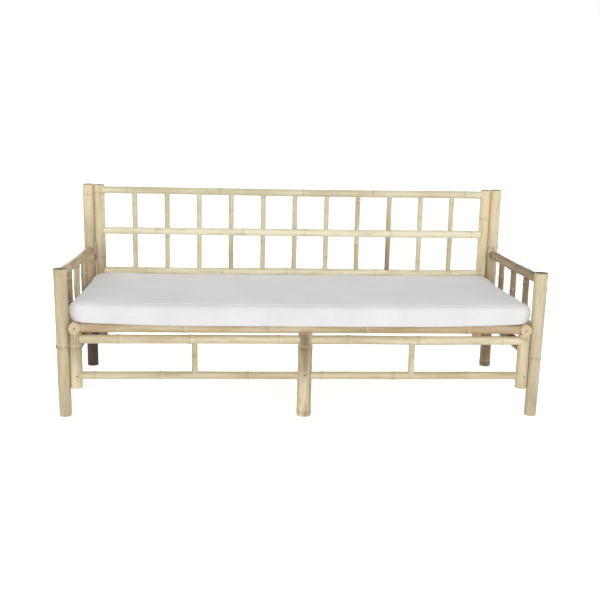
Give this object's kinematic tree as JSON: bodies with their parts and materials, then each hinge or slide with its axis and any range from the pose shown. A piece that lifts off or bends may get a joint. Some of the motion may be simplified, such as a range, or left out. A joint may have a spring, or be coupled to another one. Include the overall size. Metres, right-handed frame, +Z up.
{
  "type": "daybed",
  "caption": "Bamboo daybed with slatted arms and back, doubled legs and a loose box mattress on a slatted seat.",
  "frame": {"origin": "on the floor under the middle of the overall box", "axes": "+X along the seat to the right as seen from the open front, +Y from the open front towards the back, +Z up"},
  "size_m": [2, 0.8, 0.878],
  "materials": {
    "leg_bamboo": "satin",
    "rail_bamboo": "satin",
    "spindle_bamboo": "satin",
    "slat_bamboo": "matte",
    "mattress_cotton": "matte",
    "screw_steel": "satin"
  },
  "bodies": {
    "frame": {"apron_lower_left": "rail_bamboo", "apron_lower_right": "rail_bamboo", "apron_spindle_left": "spindle_bamboo", "apron_spindle_right": "spindle_bamboo", "apron_upper_left": "rail_bamboo", "apron_upper_right": "rail_bamboo", "arm_rail_left": "rail_bamboo", "arm_rail_right": "rail_bamboo", "arm_spindle_left_1": "spindle_bamboo", "arm_spindle_left_2": "spindle_bamboo", "arm_spindle_left_3": "spindle_bamboo", "arm_spindle_right_1": "spindle_bamboo", "arm_spindle_right_2": "spindle_bamboo", "arm_spindle_right_3": "spindle_bamboo", "back_post_left": "leg_bamboo", "back_post_right": "leg_bamboo", "back_rail_bottom": "rail_bamboo", "back_rail_middle": "rail_bamboo", "back_rail_top": "rail_bamboo", "back_spindle_01": "spindle_bamboo", "back_spindle_02": "spindle_bamboo", "back_spindle_03": "spindle_bamboo", "back_spindle_04": "spindle_bamboo", "back_spindle_05": "spindle_bamboo", "back_spindle_06": "spindle_bamboo", "back_spindle_07": "spindle_bamboo", "back_spindle_08": "spindle_bamboo", "back_spindle_09": "spindle_bamboo", "back_spindle_10": "spindle_bamboo", "back_spindle_11": "spindle_bamboo", "centre_leg": "leg_bamboo", "front_leg_left": "leg_bamboo", "front_leg_right": "leg_bamboo", "front_post_left": "leg_bamboo", "front_post_right": "leg_bamboo", "outer_side_rail_left": "rail_bamboo", "outer_side_rail_right": "rail_bamboo", "rear_leg_left": "leg_bamboo", "rear_leg_right": "leg_bamboo", "rear_lower_rail": "rail_bamboo", "screw_front_left_high": "screw_steel", "screw_front_left_low": "screw_steel", "screw_front_right_high": "screw_steel", "screw_front_right_low": "screw_steel", "screw_rear_left_high": "screw_steel", "screw_rear_left_low": "screw_steel", "screw_rear_right_high": "screw_steel", "screw_rear_right_low": "screw_steel", "seat_bearer": "rail_bamboo", "seat_rail_front": "rail_bamboo", "seat_rail_rear": "rail_bamboo", "seat_side_rail_left": "rail_bamboo", "seat_side_rail_right": "rail_bamboo", "side_lower_rail_left": "rail_bamboo", "side_lower_rail_right": "rail_bamboo", "slat_panel_1": "slat_bamboo", "slat_panel_2": "slat_bamboo", "slat_panel_3": "slat_bamboo", "slat_panel_4": "slat_bamboo"},
    "mattress": {"mattress": "mattress_cotton"}
  },
  "joints": [
    {"name": "mattress_lift", "type": "slide", "parent": "frame", "child": "mattress", "axis": [0, 0, 1], "range_m": [0, 0.3]}
  ]
}
